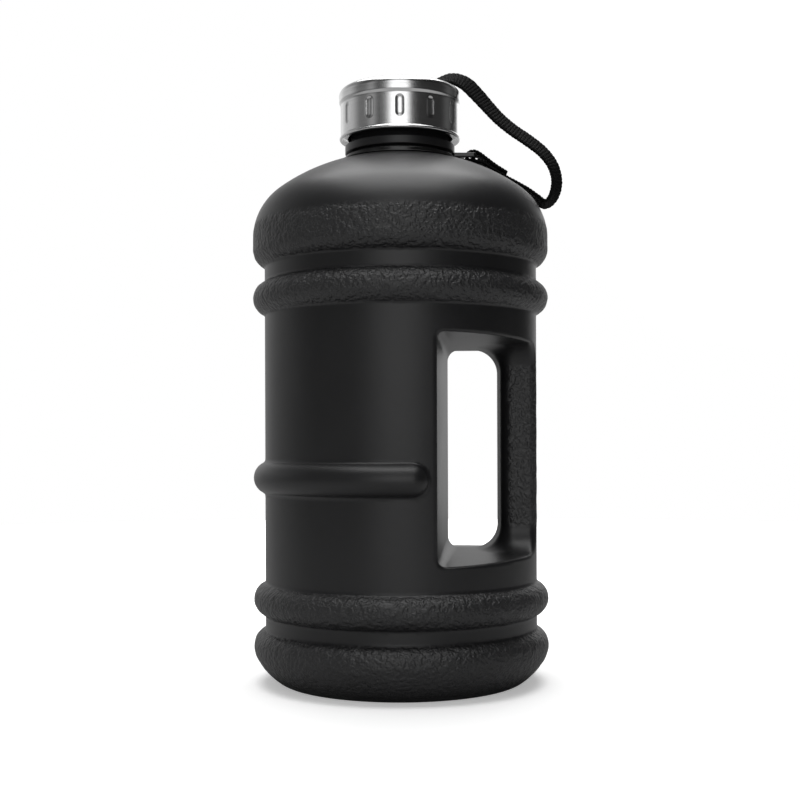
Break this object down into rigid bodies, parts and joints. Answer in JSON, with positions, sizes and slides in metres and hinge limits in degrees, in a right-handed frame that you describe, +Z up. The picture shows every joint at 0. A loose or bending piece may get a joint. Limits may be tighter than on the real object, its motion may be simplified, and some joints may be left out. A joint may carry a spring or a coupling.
{
  "type": "large sports water jug",
  "caption": "Large black ribbed sports water jug with a hollow side grip, a steel screw cap and a webbing strap that ties the cap to a ring on the neck.",
  "frame": {"origin": "on the jug's axis, on the plane that it stands on", "axes": "+Z up along the axis of the jug and its cap, +X from the axis towards the grip bar and the strap, so the camera of the picture looks along +Y"},
  "size_m": [0.139, 0.1312, 0.273],
  "materials": {
    "body_plastic": "matte black, coarse moulded grain on the bulges and the grip",
    "ring_plastic": "gloss black",
    "webbing": "black ribbed nylon webbing",
    "thread": "black bonded thread",
    "cap_steel": "brushed round the cap",
    "insert_plastic": "satin black",
    "silicone": "translucent white silicone",
    "rivet_steel": "satin"
  },
  "bodies": {
    "jug": {"jug_body": "body_plastic"},
    "tether": {"tether_ring": "ring_plastic", "carry_strap": "webbing", "strap_stitching": "thread"},
    "cap": {"cap_shell": "cap_steel", "cap_insert": "insert_plastic", "cap_gasket": "silicone", "strap_rivet": "rivet_steel", "rivet_washer": "rivet_steel", "rivet_burr": "rivet_steel"}
  },
  "joints": [
    {"name": "cap_turn", "type": "hinge", "parent": "jug", "child": "tether", "pos_m": [0, 0, 0.24], "axis": [0, 0, 1], "range_deg": [0, 900]},
    {"name": "cap_lift", "type": "slide", "parent": "tether", "child": "cap", "axis": [0, 0, 1], "range_m": [0, 0.0125], "deforming": ["carry_strap"]}
  ],
  "couplings": [
    {"joint": "cap_lift", "follows": "cap_turn", "m_per_rad": 0.00079577}
  ]
}
